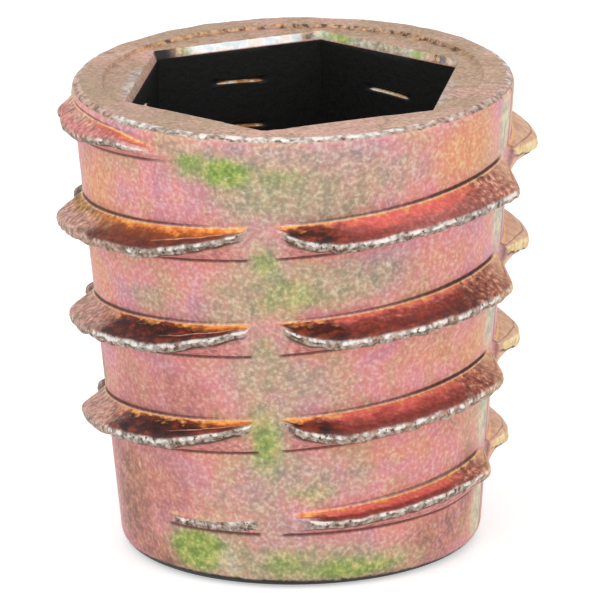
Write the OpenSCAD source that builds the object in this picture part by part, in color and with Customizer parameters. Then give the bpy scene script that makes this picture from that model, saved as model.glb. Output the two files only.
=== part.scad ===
// Hex-drive threaded insert for wood: a slightly tapered round body with a coarse thread
// outside, a hexagonal drive socket in the wide end and a tapped bore through the rest.
// The outer thread is a single right-hand helix, and its ridge stops short of four parting
// lines, a quarter turn apart. The insert is one die-cast piece.
// Millimetres. The axis is Z, and the narrow end stands on z = 0.

/* [Body] */
// Length along the axis
body_len = 12.8; // [12.6:0.1:18]
// Diameter at the wide end, where the socket is
top_d = 11.86; // [11.6:0.02:13]
// Diameter at the narrow end
bottom_d = 9.62; // [9.4:0.02:11.4]
// Radius of the outer edge at the wide end
top_edge_r = 0.25; // [0.1:0.05:0.4]
// Radius of the outer edge at the narrow end
bottom_edge_r = 0.45; // [0.2:0.05:0.6]

/* [Drive socket] */
// Width across the flats, for an 8 mm hexagon key
hex_flats = 8.1; // [7.6:0.05:8.3]
// Depth from the face of the wide end
hex_depth = 5.5; // [4:0.1:6.5]
// Width of the steep lead-in round the mouth
lead_w = 0.1; // [0.05:0.01:0.15]
// Depth of that lead-in
lead_h = 0.24; // [0.1:0.02:0.4]
// Diameter of the shallow dish in the face round the mouth
dish_d = 10.2; // [9.9:0.05:10.4]
// Depth of the dish
dish_h = 0.1; // [0.05:0.01:0.15]

/* [Bore] */
// Nominal diameter of the screw
screw_d = 8; // [6:0.5:8]
// Pitch of the screw's thread
screw_pitch = 1.25; // [0.75:0.05:1.25]
// How much narrower than the screw the bore is, as a share of the pitch
bore_share = 0.8; // [0.75:0.05:1]
// Width of the 45 degree countersink at each end of the bore
countersink_w = 0.4; // [0.2:0.05:0.45]

/* [Outer thread] */
// Rise of the ridge in one turn
pitch = 2.733; // [2.5:0.001:2.75]
// Height of the ridge's crest over the body, at the wide end
crest_h_top = 0.84; // [0.5:0.01:0.9]
// Height of the crest over the body, at the narrow end
crest_h_bottom = 0.65; // [0.4:0.01:0.8]
// Width of the ridge where it meets the body
ridge_w = 0.89; // [0.8:0.01:1.1]
// Width of the ridge's crest
crest_w = 0.29; // [0.2:0.01:0.35]
// Rounding of the crest's two edges
crest_edge = 0.07; // [0.02:0.01:0.08]
// Drop of the upper flank from the body to a full crest
flank_drop = 0.45; // [0.3:0.005:0.46]
// Height of the small ledge along the ridge's lower side
ledge_h = 0.06; // [0.03:0.01:0.1]

/* [Ends of the thread] */
// Height of the middle of the crest where the lowest turn meets the front parting line
first_turn_z = 1.535; // [1.4:0.005:1.6]
// Angle before the front parting line at which the ridge begins
thread_before = 39; // [10:1:60]
// Angle over which the ridge first grows
swell_angle = 65; // [30:1:90]
// Share of its full height that it then keeps for a while
swell_share = 0.6; // [0.4:0.05:1]
// Angle after the front parting line at which the ridge ends, four turns higher up
thread_after = 1419; // [1390:1:1425]
// Angle over which the ridge sinks to its end
run_out_angle = 32; // [20:1:60]
// Share of its full height that it has before that
run_out_share = 0.64; // [0.4:0.02:1]

/* [Parting lines] */
// Angle past a parting line at which the ridge rises out of the body
rise_from = 2.4; // [1:0.1:5]
// Angle past a parting line at which the ridge has its full height
rise_to = 20; // [14:1:30]
// Angle past the left parting line at which its steeper rise begins
left_rise_from = 9; // [5:0.5:11]
// Angle past the left parting line at which the ridge has its full height
left_rise_to = 13; // [12:0.5:20]
// Angle before the front and back parting lines at which the ridge starts to sink
sink_from = 28.6; // [16:0.1:35]
// Angle before those two lines at which the ridge is gone
sink_to = 2.6; // [1:0.1:5]
// Angle before the two side parting lines at which the ridge starts to sink
side_sink_from = 13; // [10:0.5:20]
// Angle before those two lines at which the ridge is gone
side_sink_to = 5.5; // [3:0.5:8]

/* [Hidden] */
$fn = 96;
eps = 0.01;
taper = (top_d - bottom_d) / 2 / body_len;
taper_a = atan(taper);
hex_corner_r = hex_flats / 2 / cos(30);
mouth_z = body_len - dish_h;
floor_z = body_len - hex_depth;
bore_d = screw_d - bore_share * screw_pitch;
thread_angle = 60;                       // between the flanks of the screw's thread
groove_root = screw_pitch / 24;          // half the width of the groove at its bottom
groove_start_z = -0.39;                  // its middle at the front parting line
groove_in_r = bore_d / 2 - 0.2 * screw_pitch; // the groove is cut from inside the bore
groove_half = groove_root + (screw_d / 2 - groove_in_r) * tan(thread_angle / 2);
groove_steps = 36;                       // sections in one turn of the groove
flank_slope = flank_drop / ((crest_h_top + crest_h_bottom) / 2);
upper_root = crest_w / 2 + flank_drop;   // over the middle of the crest
lower_root = upper_root - ridge_w;       // under it
rim_root = body_len - top_edge_r - 0.05; // the ridge stays under the rounded rim

embed = 0.3;          // how far the ridge reaches into the body
overlap = 0.4;        // angle by which a stretch of ridge goes on inside the body
sunk_h = 0.05;        // how far under the body's skin it ends there
sunk_share = 0.05;    // share of the full height under which it dips to that depth
rise_knee = [8, 0.6]; // angle past the start of a rise, and the share of the height there
sink_knee = [2, 0.27];
low_crest = 0.3;      // share of the crest's width that is left where the ridge vanishes
swell_to_full = [100, 160];   // angles from the lower end at which the low stretch becomes full
run_out_to_full = [110, 170]; // the same from the upper end
end_width = 0.15;     // share of the ridge's width at its upper end
start_width = 0.33;   // the same at its lower end
step_count = 20;      // sections along a quarter turn of ridge
sides = 7;            // points of a section
first_quarter = floor(-thread_before / 90);
last_quarter = ceil(thread_after / 90) - 1;
zinc = "#c9a596";

function body_r(z) = bottom_d / 2 + taper * z;
function crest_h(z) = crest_h_bottom + (crest_h_top - crest_h_bottom) * z / body_len;
function between(x, lo, hi) = max(0, min(1, (x - lo) / (hi - lo)));

// A rise from 0 to 1 in two straight stretches that meet at the knee
function bent(x, lo, hi, knee) =
    knee[1] * between(x, lo, lo + knee[0]) + (1 - knee[1]) * between(x, lo + knee[0], hi);

// Parting lines are counted from the front one round to the right: 0 front, 1 right, 2 back
// and 3 left, then on in the next turn.
function on_side(line) = line % 2 != 0;
function on_left(line) = line - 4 * floor(line / 4) == 3;

// Share of its full height that the ridge has at an angle past a line, and before a line
function rise_share(line, past) = on_left(line)
    ? between(past, left_rise_from, left_rise_to)
    : bent(past, rise_from, rise_to, rise_knee);
function sink_share(line, left) = on_side(line)
    ? between(left, side_sink_to, side_sink_from)
    : bent(left, sink_to, sink_from, sink_knee);
function parting_share(a) =
    let (line = floor(a / 90), past = a - 90 * line)
    min(rise_share(line, past), sink_share(line + 1, 90 - past));

// The same at the two ends of the thread, where a low stretch leads to the full ridge. x is
// the angle from the end.
function low_stretch(x, angle, share, to_full) =
    share * between(x, 0, angle) + (1 - share) * between(x, to_full[0], to_full[1]);
function end_share(a) =
    low_stretch(a + thread_before, swell_angle, swell_share, swell_to_full)
    * low_stretch(thread_after - a, run_out_angle, run_out_share, run_out_to_full);

// Share of its full width that the ridge has near the two ends
function widening(x, first, angle) = first + (1 - first) * between(x, 0, angle);

// Section of the ridge at angle a, as [distance from the axis, height]. The upper flank keeps
// its slope, so a lower crest also sits higher, and the ends of the thread are narrower.
function ridge_section(a) =
    let (
        mid_z = first_turn_z + pitch * a / 360,
        share = parting_share(a) * end_share(a),
        sunk = sunk_h * (1 - between(share, 0, sunk_share)),
        h = crest_h(mid_z) * share - sunk,
        ledge = ledge_h * between(share, 0, 2 * sunk_share) - sunk,
        top_w = ridge_w * widening(thread_after - a, end_width, run_out_angle),
        bottom_w = ridge_w * widening(a + thread_before, start_width, swell_to_full[0]),
        top = min(rim_root, mid_z + lower_root + top_w),
        bottom = mid_z + upper_root - bottom_w,
        left_of_crest = low_crest + (1 - low_crest) * share,
        edge = crest_edge * left_of_crest,
        crest_top = top - flank_slope * h,
        crest_bottom = max(bottom + eps, crest_top - crest_w * left_of_crest)
    ) [
        [body_r(top) - embed, top + flank_slope * embed],
        [body_r(crest_top) + h - edge, crest_top + flank_slope * edge],
        [body_r(crest_top) + h, crest_top - edge / 2],
        [body_r(crest_bottom) + h, crest_bottom + edge],
        [body_r(crest_bottom) + h - edge, crest_bottom],
        [body_r(bottom) + min(ledge, h - edge), bottom],
        [body_r(bottom) - embed, bottom],
    ];

// A point of a section, turned to its place. Angle 0 is the front parting line, at -Y.
function placed(p, a) = [p.x * sin(a), -p.x * cos(a), p.y];

// One stretch of ridge between two parting lines, swept through sections that stand closer
// together near its ends
module ridge_quarter(k) {
    rise_start = on_left(k) ? left_rise_from : rise_from;
    sink_end = on_side(k + 1) ? side_sink_to : sink_to;
    from = max(90 * k + rise_start - overlap, -thread_before + 1);
    to = min(90 * (k + 1) - sink_end + overlap, thread_after - 1);
    n = max(8, round(step_count * (to - from) / 85));
    angles = [for (i = [0:n]) from + (to - from) * (1 - cos(180 * i / n)) / 2];
    points = [for (a = angles) for (p = ridge_section(a)) placed(p, a)];
    skin = [
        for (i = [0:n - 1]) for (j = [0:sides - 1])
            let (
                p = i * sides + j,
                q = i * sides + (j + 1) % sides
            ) each [[p, q + sides, q], [p, p + sides, q + sides]]
    ];
    first_cap = [for (j = [0:sides - 1]) j];
    last_cap = [for (j = [sides - 1:-1:0]) n * sides + j];
    polyhedron(points, concat(skin, [first_cap, last_cap]));
}

// Half of the body's outline, with its two rounded edges as true arcs
module body_outline() {
    bottom_c = [body_r(bottom_edge_r) - bottom_edge_r / cos(taper_a), bottom_edge_r];
    top_c = [body_r(body_len - top_edge_r) - top_edge_r / cos(taper_a), body_len - top_edge_r];
    side = [cos(taper_a), -sin(taper_a)];
    polygon([
        [0, 0],
        [bottom_c.x, 0],
        bottom_c + bottom_edge_r * side,
        top_c + top_edge_r * side,
        [top_c.x, body_len],
        [0, body_len],
    ]);
    translate(bottom_c) circle(r = bottom_edge_r);
    translate(top_c) circle(r = top_edge_r);
}

// The groove of the screw's thread: a right-hand helix that runs out of the bore at both ends
module screw_groove() {
    first = floor(groove_steps * (-groove_half - groove_start_z) / screw_pitch) - 1;
    last = ceil(groove_steps * (floor_z + groove_half - groove_start_z) / screw_pitch) + 1;
    section = [
        [groove_in_r, -groove_half],
        [screw_d / 2, -groove_root],
        [screw_d / 2, groove_root],
        [groove_in_r, groove_half],
    ];
    points = [
        for (i = [first:last]) for (p = section)
            let (a = 360 * i / groove_steps)
            placed([p.x, p.y + groove_start_z + screw_pitch * a / 360], a)
    ];
    skin = [
        for (i = [0:last - first - 1]) for (j = [0:3])
            let (
                p = i * 4 + j,
                q = i * 4 + (j + 1) % 4
            ) each [[p, q, q + 4], [p, q + 4, p + 4]]
    ];
    end = 4 * (last - first);
    polyhedron(points, concat(skin, [[3, 2, 1, 0], [end, end + 1, end + 2, end + 3]]));
}

// The dish, the hexagon with its lead-in and the bore with its countersinks
module hollow() {
    lead_r = hex_corner_r + 2 * lead_w / cos(30);
    sink_d = bore_d + 2 * countersink_w + 2 * eps;
    translate([0, 0, mouth_z]) cylinder(d = dish_d, h = 1);
    rotate(30) {
        translate([0, 0, floor_z]) cylinder(r = hex_corner_r, h = hex_depth, $fn = 6);
        translate([0, 0, mouth_z - lead_h])
            cylinder(r1 = hex_corner_r, r2 = lead_r, h = 2 * lead_h, $fn = 6);
    }
    translate([0, 0, -1]) cylinder(d = bore_d, h = body_len);
    translate([0, 0, floor_z - countersink_w])
        cylinder(d1 = bore_d, d2 = sink_d, h = countersink_w + eps);
    translate([0, 0, -eps]) cylinder(d1 = sink_d, d2 = bore_d, h = countersink_w + eps);
}

module insert() {
    color(zinc) {
        difference() {
            rotate_extrude() body_outline();
            hollow();
            screw_groove();
        }
        for (k = [first_quarter:last_quarter]) ridge_quarter(k);
    }
}

insert();
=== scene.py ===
import math

import bpy
import numpy as np
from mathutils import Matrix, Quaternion, Vector


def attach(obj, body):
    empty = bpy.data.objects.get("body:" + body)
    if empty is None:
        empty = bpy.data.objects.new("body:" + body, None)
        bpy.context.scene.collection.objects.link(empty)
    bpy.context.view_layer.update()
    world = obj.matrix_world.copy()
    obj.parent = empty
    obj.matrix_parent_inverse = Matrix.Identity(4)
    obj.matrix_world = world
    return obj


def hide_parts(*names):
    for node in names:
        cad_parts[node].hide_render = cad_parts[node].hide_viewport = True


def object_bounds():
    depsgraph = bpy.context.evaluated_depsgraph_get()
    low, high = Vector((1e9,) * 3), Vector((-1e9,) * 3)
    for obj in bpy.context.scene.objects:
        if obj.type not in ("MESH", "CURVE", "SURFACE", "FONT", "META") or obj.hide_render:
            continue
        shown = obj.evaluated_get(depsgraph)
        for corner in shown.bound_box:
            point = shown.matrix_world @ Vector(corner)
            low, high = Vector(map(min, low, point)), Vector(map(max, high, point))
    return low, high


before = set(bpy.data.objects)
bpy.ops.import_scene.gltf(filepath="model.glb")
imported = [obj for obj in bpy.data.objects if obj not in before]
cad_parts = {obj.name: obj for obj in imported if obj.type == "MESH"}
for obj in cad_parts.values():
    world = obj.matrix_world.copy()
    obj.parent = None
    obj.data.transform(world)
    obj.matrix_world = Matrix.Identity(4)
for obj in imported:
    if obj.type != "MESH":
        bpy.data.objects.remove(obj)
cad_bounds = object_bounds()

# The visual piece is one closed skin over the frame's insert. Shapes are written in
# millimetres. An angle is counted from the front parting line (at -Y) towards +X, and the
# angle along the thread goes on over its turns.
MM = 0.001

# -------- body
BODY_LEN = 12.8
TOP_R, BOTTOM_R = 5.93, 4.81
TOP_EDGE_R, BOTTOM_EDGE_R = 0.25, 0.45
TAPER = (TOP_R - BOTTOM_R) / BODY_LEN
TAPER_A = math.atan(TAPER)

# -------- drive socket and bore
HEX_APOTHEM = 4.05
MOUTH_Z, SOCKET_FLOOR_Z = 12.7, 7.3
LEAD_W, LEAD_H = 0.1, 0.24
LEAD_ROW = (0.2, 0.8)      # place of its middle row, as shares of its width and height
BRINK_ROWS = [(0.05, 0), (0.02, 0.004), (-0.01, 0.03)]    # (outwards, down) at the mouth
DISH_R, DISH_STEP_W = 5.1, 0.05
DISH_KNEE = (0.3, 0.25)    # place of its step's knee, as shares of its width and height
SINK_W = 0.4
SCREW_PITCH, SCREW_PHASE_Z = 1.25, -0.39
SCREW_MAJOR_R, SCREW_MINOR_R = 4.0, 3.5
SCREW_ROOT_HALF = SCREW_PITCH / 24
SCREW_SLOPE = math.tan(math.radians(60))
NICK_R = 4.13              # how far out the groove cuts the hexagon's flats
BORE_INSIDE = 0.03         # how far the bore's countersink stays inside the hexagon

# -------- outer thread
PITCH = 2.733
CREST_H_TOP, CREST_H_BOTTOM = 0.84, 0.65
RIDGE_W, CREST_W = 0.89, 0.29
FLANK_DROP = 0.45
FLANK_SLOPE = FLANK_DROP / ((CREST_H_TOP + CREST_H_BOTTOM) / 2)
UPPER_ROOT = CREST_W / 2 + FLANK_DROP
LOWER_ROOT = UPPER_ROOT - RIDGE_W
LEDGE_H, LEDGE_MIN = 0.06, 0.01
LEDGE_SHARE = 0.1          # share of the ridge's height at which the ledge is whole
LOW_CREST = 0.3            # share of its width that the crest keeps where the ridge sinks
FIRST_TURN_Z = 1.535
RIM_GAP = 0.05
RIM_ROOT = BODY_LEN - TOP_EDGE_R - RIM_GAP
# The thread's two ends: their angle before and after the front line, the length and share of
# height of their low stretch, the stretch over which they grow to the full height, and the
# share of its width that the ridge has there
THREAD_BEFORE, SWELL_ANGLE, SWELL_SHARE = 39, 65, 0.6
THREAD_AFTER, RUN_OUT_ANGLE, RUN_OUT_SHARE = 1419, 32, 0.64
SWELL_TO_FULL, RUN_OUT_TO_FULL = (100, 160), (110, 170)
START_WIDTH, END_WIDTH = 0.33, 0.15
# Roundings of the crest: on top, underneath, and how much further the first goes down the flank
CREST_ROUND, CREST_ROUND_UNDER, FLANK_ROUND = 0.13, 0.10, 1.3
CORNER_LIMIT = 0.45        # a rounding takes at most this share of a straight run
CREST_BULGE, FLANK_HOLLOW = 0.012, 0.06
CREVICE_DEEP, CREVICE_WIDE, CREVICE_ROW = 0.03, 0.06, 0.4    # the row: how far up it is deepest
# Ripples along the thread, as (amount, period in degrees, seed)
HEIGHT_RIPPLES = [(0.014, 14, 3), (0.008, 3.5, 4)]
PLACE_RIPPLE = (0.012, 9, 5)
WIDTH_RIPPLE = (0.10, 8, 6)

# Share of its full height that the ridge has round one turn: it sinks into the body before
# each parting line and rises again after it.
TURN_SHARE = [
    (0, 0), (2.4, 0), (10.4, 0.6), (20, 1), (77, 1), (84.5, 0),
    (88, 0), (90, 0.27), (93.7, 0.42), (98.2, 0.6), (103.5, 0.86), (107, 1.06), (112, 1.15),
    (125, 1.1), (140, 1), (151.4, 1), (175.4, 0.27), (177.4, 0),
    (182.4, 0), (190.4, 0.6), (200, 1), (259, 1), (266, 0),
    (279, 0), (283, 1), (331.4, 1), (355.4, 0.27), (357.4, 0), (360, 0),
]
# Where single turns are lower, and where their crest lies higher (above 0) or sags
TURN_TOUCH = [
    (1090, 1), (1122, 0.87), (1148, 0.87), (1160, 1), (1362, 1), (1364.5, 0.64),
    (1368.3, 0.75), (1370.4, 0.88), (1374, 0.97), (1384, 1),
]
CREST_SAG = [
    (-39, -0.12), (-3, -0.12), (4, -0.1), (30, 0), (380, 0), (437, 0.05), (445, 0), (740, 0),
    (797, -0.07), (807, 0), (1100, 0), (1157, -0.13), (1164, -0.13), (1168, 0),
    (1362, -0.08), (1376, -0.08), (1390, 0),
]
# The three upper ridges start a little higher after the right parting line
BUMP_LIFT = [
    (440, 0), (450, 0.08), (478, 0.08), (490, 0), (800, 0), (810, 0.08), (838, 0.08), (850, 0),
    (1164, 0), (1170, 0.1), (1198, 0.1), (1210, 0),
]
# How much of its full width the crest keeps where the ridge is low, along its start
CREST_WIDE = [(-39, 0.3), (-25, 0.9), (12, 0.9), (40, 0)]
# Round one turn, the crest's width and whether the upper flank is hollow (above 0) or full
CREST_FAT = [(0, 1), (85, 1), (90, 1.25), (116, 1.25), (130, 1), (360, 1)]
FLANK_FORM = [(0, 1), (80, 1), (88, -1.5), (120, -1.5), (140, 1), (360, 1)]

# -------- unevenness
# Waves in the casting's surface, as (depth, size, seed)
SIDE_WAVES = [(0.008, 1.6, 11), (0.005, 0.5, 12)]
FACE_WAVES = [(0.02, 1.3, 13), (0.01, 0.4, 14)]
CREST_WAVES = 1.3          # times as deep on the crests
HOLLOW_R, BASE_BAND = 4.3, 0.01    # nothing inside this radius or under this height moves
EDGE_BAND = 0.2            # what lies further than this outside the dish moves sideways, and
                           # what lies above its floor or this far below it moves down
TINY = 1e-6

# -------- mesh density
OUTER_COLUMNS, INNER_COLUMNS = 480, 240
TURNS = range(-2, 5)
LAND_ROWS, LAND_GAP = 7, 0.25      # rows, and the gap after the last one against the others
FLANK_ROWS, FLANK_GAP = 4, 0.45
FACE_ROWS, HEEL_ROWS = 4, 8
ROUNDING = (0.0, 0.33, 0.67, 1.0)
GROOVE_ROWS = (-0.49, -0.34, -0.13, -0.098, -0.052, 0.052, 0.098, 0.13, 0.34, 0.49)
SHARP_ANGLE = 38
WELD_GRID = 1e5            # places in a millimetre that are told apart

# -------- wear of the wide end
# The rounded edge of the wide end: (angle up its arc, how worn it is there), and the share
# of bare metal in that wear round the rim, which is also a painted highlight, most at the front
EDGE_ROWS = [(15, 0), (30, 0.3), (42, 1), (54, 1), (66, 1), (80, 1)]
EDGE_SILVER_AND_HIGHLIGHT = [
    (0, 1), (28, 1), (44, 0.5), (90, 0.3), (130, 0.7), (180, 0.5), (230, 0.7), (280, 0.2),
    (312, 0.3), (322, 0.9), (360, 1),
]
# As (angle, amount) round the socket's mouth: a painted highlight of bare metal in the lead-in,
# the stained step of the dish, grey wear along two sides of the hexagon, and a painted highlight
# on the brink of the front ones
LEAD_HIGHLIGHT = [(0, 0), (116, 0), (124, 0.9), (233, 0.9), (235, 0), (360, 0)]
STEP_STAIN = [(0, 0), (112, 0), (130, 0.9), (240, 0.9), (262, 0.4), (275, 0), (360, 0)]
SIDE_GREY = [(0, 0), (58, 0), (68, 0.8), (95, 0.6), (110, 0), (250, 0), (268, 0.8), (290, 1),
             (300, 0.2), (305, 0), (360, 0)]
GREY_ON_FACE, GREY_NEAR_BRINK = 0.7, 0.8
BRINK = [(0, 1), (58, 1), (66, 0), (294, 0), (302, 1), (360, 1)]
# How bright the painted highlights on the lips of the screw thread's groove are, and the cut at
# which they are whole
LOWER_LIP_HIGHLIGHT, UPPER_LIP_HIGHLIGHT, WHOLE_CUT = 1.0, 0.1, 0.05
FIELD_REACH = 0.3          # how far from the ridge above_root and below_ledge still change
LAND_END = 0.3             # share of the land that still belongs to the ridge beside it


def body_r(z):
    return BOTTOM_R + TAPER * z


def between(x, lo, hi):
    return np.clip((x - lo) / (hi - lo), 0, 1)


def along(x, table):
    places, values = zip(*table)
    return np.interp(x, places, values)


def low_stretch(x, angle, share, to_full):
    return share * between(x, 0, angle) + (1 - share) * between(x, *to_full)


def ridge_share(a):
    ends = low_stretch(a + THREAD_BEFORE, SWELL_ANGLE, SWELL_SHARE, SWELL_TO_FULL)
    ends = ends * low_stretch(THREAD_AFTER - a, RUN_OUT_ANGLE, RUN_OUT_SHARE, RUN_OUT_TO_FULL)
    return along(a % 360, TURN_SHARE) * along(a, TURN_TOUCH) * ends


def ripple(a, amount, period, seed):
    """Smooth unevenness along the thread, from about -amount to amount."""
    rng = np.random.default_rng(seed)
    total = np.zeros_like(a)
    for _ in range(7):
        length = period * rng.uniform(0.6, 1.7)
        total += np.sin(a * 2 * math.pi / length + rng.uniform(0, 2 * math.pi))
    return amount * (total / 3.0)


def waves(points, depth, size, seed):
    """Smooth unevenness in space, from about -depth to depth, with features of that size."""
    rng = np.random.default_rng(seed)
    total = np.zeros(len(points))
    for _ in range(16):
        way = rng.normal(size=3)
        way *= 2 * math.pi / (size * rng.uniform(1.2, 2.8)) / np.linalg.norm(way)
        total += np.sin(points @ way + rng.uniform(0, 2 * math.pi))
    return depth * (total / 5.0)


# -------- rows of the skin
# A row is a radius, a height and the fields, each over all columns. The fields are values that
# the surface's colours follow.
FIELDS = ("crest", "across", "flank", "under", "above_root", "below_ledge", "share", "rim",
          "edge", "lead", "heel", "step_wall", "grey", "brink", "depth", "cut", "thread_a")


class Grid:
    """Rows of points over the columns, from which the faces of one patch are made."""

    def __init__(self, theta):
        self.theta = theta
        self.rows = []

    def add(self, r, z, **fields):
        flat = np.zeros_like(self.theta)
        values = [flat + fields.get(name, 0.0) for name in FIELDS]
        self.rows.append(np.stack([flat + r, flat + z] + values, axis=-1))

    def points(self, backwards=False):
        rows = np.stack(self.rows[::-1] if backwards else self.rows)
        turn = np.radians(self.theta % 360)
        r, z = rows[..., 0], rows[..., 1]
        xyz = np.stack([r * np.sin(turn), -r * np.cos(turn), z], axis=-1)
        return np.concatenate([xyz, rows[..., 2:]], axis=-1)


def taken(points, name):
    """One of the fields, at the points."""
    return points[:, 3 + FIELDS.index(name)]


def midway(a, b):
    return (a[0] + b[0]) / 2, (a[1] + b[1]) / 2


def columns(count):
    return np.arange(count + 1) * (360.0 / count)


def corner(a, b, c, reach_a, reach_c):
    """Points of the rounding at corner b, between the straight runs a-b and b-c."""
    points = []
    ab, cb = (a[0] - b[0], a[1] - b[1]), (c[0] - b[0], c[1] - b[1])
    ab_len = np.maximum(np.hypot(*ab), TINY)
    cb_len = np.maximum(np.hypot(*cb), TINY)
    ta = np.minimum(reach_a, CORNER_LIMIT * ab_len) / ab_len
    tc = np.minimum(reach_c, CORNER_LIMIT * cb_len) / cb_len
    for s in ROUNDING:
        points.append(tuple(
            b[n] + (1 - s) ** 2 * ta * ab[n] + s ** 2 * tc * cb[n] for n in (0, 1)
        ))
    return points


def ridge_corners(a):
    """The section of the ridge at angle a, as (height over the body, z) of its corners."""
    mid_z = FIRST_TURN_Z + PITCH * a / 360
    share = ridge_share(a)
    full_h = CREST_H_BOTTOM + (CREST_H_TOP - CREST_H_BOTTOM) * mid_z / BODY_LEN
    rough = 1 + ripple(a, *HEIGHT_RIPPLES[0]) + ripple(a, *HEIGHT_RIPPLES[1])
    h = full_h * share * rough
    ledge_share = between(share, 0, LEDGE_SHARE)
    ledge = np.minimum(LEDGE_H * ledge_share, h / 2)
    end_w = END_WIDTH + (1 - END_WIDTH) * between(THREAD_AFTER - a, 0, RUN_OUT_ANGLE)
    start_w = START_WIDTH + (1 - START_WIDTH) * between(a + THREAD_BEFORE, 0, SWELL_TO_FULL[0])
    bottom = mid_z + UPPER_ROOT - RIDGE_W * start_w
    top = np.maximum(bottom, np.minimum(RIM_ROOT, mid_z + LOWER_ROOT + RIDGE_W * end_w))
    top = top + along(a, BUMP_LIFT)
    left_of_crest = LOW_CREST + (1 - LOW_CREST) * np.minimum(share, 1)
    left_of_crest = np.maximum(left_of_crest, along(a, CREST_WIDE))
    crest_top = top - FLANK_SLOPE * h + along(a, CREST_SAG)
    crest_top = crest_top + ripple(a, *PLACE_RIPPLE) * between(share, 0, 0.5)
    crest_w = CREST_W * left_of_crest * (1 + ripple(a, *WIDTH_RIPPLE))
    crest_w = crest_w * along(a % 360, CREST_FAT)
    crest_bottom = np.maximum(bottom + LEDGE_MIN * ledge_share, crest_top - crest_w)
    return share, top, (h, crest_top), (h, crest_bottom), (ledge, bottom), bottom


def outer_thread():
    """The tapered side with its ridge, in rows that climb with the thread."""
    theta = columns(OUTER_COLUMNS)
    grid = Grid(theta)
    side_lo = BOTTOM_EDGE_R - BOTTOM_EDGE_R * math.sin(TAPER_A)
    side_hi = BODY_LEN - TOP_EDGE_R - TOP_EDGE_R * math.sin(TAPER_A)

    def put(h, z, share, **fields):
        clipped = np.clip(z, side_lo, side_hi)
        h = np.where((z < side_lo) | (z > side_hi), 0, h)
        grid.add(body_r(clipped) + h, clipped, share=share, thread_a=a, **fields)

    for k in TURNS:
        a = theta + 360.0 * k
        share, top, crest_hi, crest_lo, ledge, bottom = ridge_corners(a)
        foot, head = (np.zeros_like(a), bottom), (np.zeros_like(a), top)
        edge = CREST_ROUND_UNDER * np.minimum(share, 1)
        over = CREST_ROUND * np.minimum(share, 1)
        put(*foot, share, under=1.0, above_root=FIELD_REACH, below_ledge=FIELD_REACH)
        put(*ledge, share, under=1.0, above_root=FIELD_REACH)
        low = corner(ledge, crest_lo, crest_hi, edge, edge)
        high = corner(crest_lo, crest_hi, head, over, over * FLANK_ROUND)
        put(*midway(ledge, low[0]), share, under=1.0, above_root=FIELD_REACH)
        middle_h, middle_z = midway(low[-1], high[0])
        crest = low + [(middle_h + CREST_BULGE * share, middle_z)] + high
        for n, (h, z) in enumerate(crest):
            put(h, z, share, crest=1.0, across=n / (len(crest) - 1), above_root=-1.0)
        start = high[-1]
        run = np.hypot(start[0], head[1] - start[1])
        for n in range(1, FLANK_ROWS + 1):
            s = n / (FLANK_ROWS + FLANK_GAP)
            hollow = FLANK_HOLLOW * share * math.sin(math.pi * s) * along(a % 360, FLANK_FORM)
            put(start[0] * (1 - s) - hollow, start[1] + (head[1] - start[1]) * s, share,
                flank=1.0, across=1.0, above_root=-np.minimum(1, run * (1 - s)))
        put(*head, share, above_root=0.0)
        above = CREVICE_ROW * CREVICE_WIDE
        put(-CREVICE_DEEP * np.minimum(share, 1), top + above, share, above_root=above)
        put(0 * a, top + CREVICE_WIDE, share, above_root=CREVICE_WIDE)
        next_bottom = ridge_corners(a + 360)[-1]
        for n in range(1, LAND_ROWS + 1):
            s = n / (LAND_ROWS + LAND_GAP)
            z = top + CREVICE_WIDE + (next_bottom - top - CREVICE_WIDE) * s
            beside = share * (s < LAND_END) + ridge_share(a + 360) * (s > 1 - LAND_END)
            put(0 * a, z, beside, above_root=np.minimum(z - top, FIELD_REACH),
                below_ledge=np.maximum(0, FIELD_REACH - (next_bottom - z)))
    return grid.points()


def arc_point(centre, radius, degrees):
    t = math.radians(degrees)
    return centre[0] + radius * math.cos(t), centre[1] + radius * math.sin(t)


def hexagon(theta, apothem):
    return apothem / np.cos(np.radians(theta % 60 - 30))


def rim():
    """The rounded edge and the face of the wide end, out to the dish."""
    grid = Grid(columns(OUTER_COLUMNS))
    centre_z = BODY_LEN - TOP_EDGE_R
    centre = (body_r(centre_z) - TOP_EDGE_R / math.cos(TAPER_A), centre_z)
    grid.add(*arc_point(centre, TOP_EDGE_R, -math.degrees(TAPER_A)), above_root=FIELD_REACH)
    silver = along(grid.theta, EDGE_SILVER_AND_HIGHLIGHT)
    for degrees, worn in EDGE_ROWS:
        grid.add(*arc_point(centre, TOP_EDGE_R, degrees), rim=worn, edge=worn,
                 across=degrees / 90, lead=silver)
    grid.add(*arc_point(centre, TOP_EDGE_R, 90), rim=1.0)
    for n in range(1, FACE_ROWS + 1):
        grid.add(centre[0] + (DISH_R - centre[0]) * n / FACE_ROWS, BODY_LEN, rim=1.0)
    return grid.points()


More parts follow.
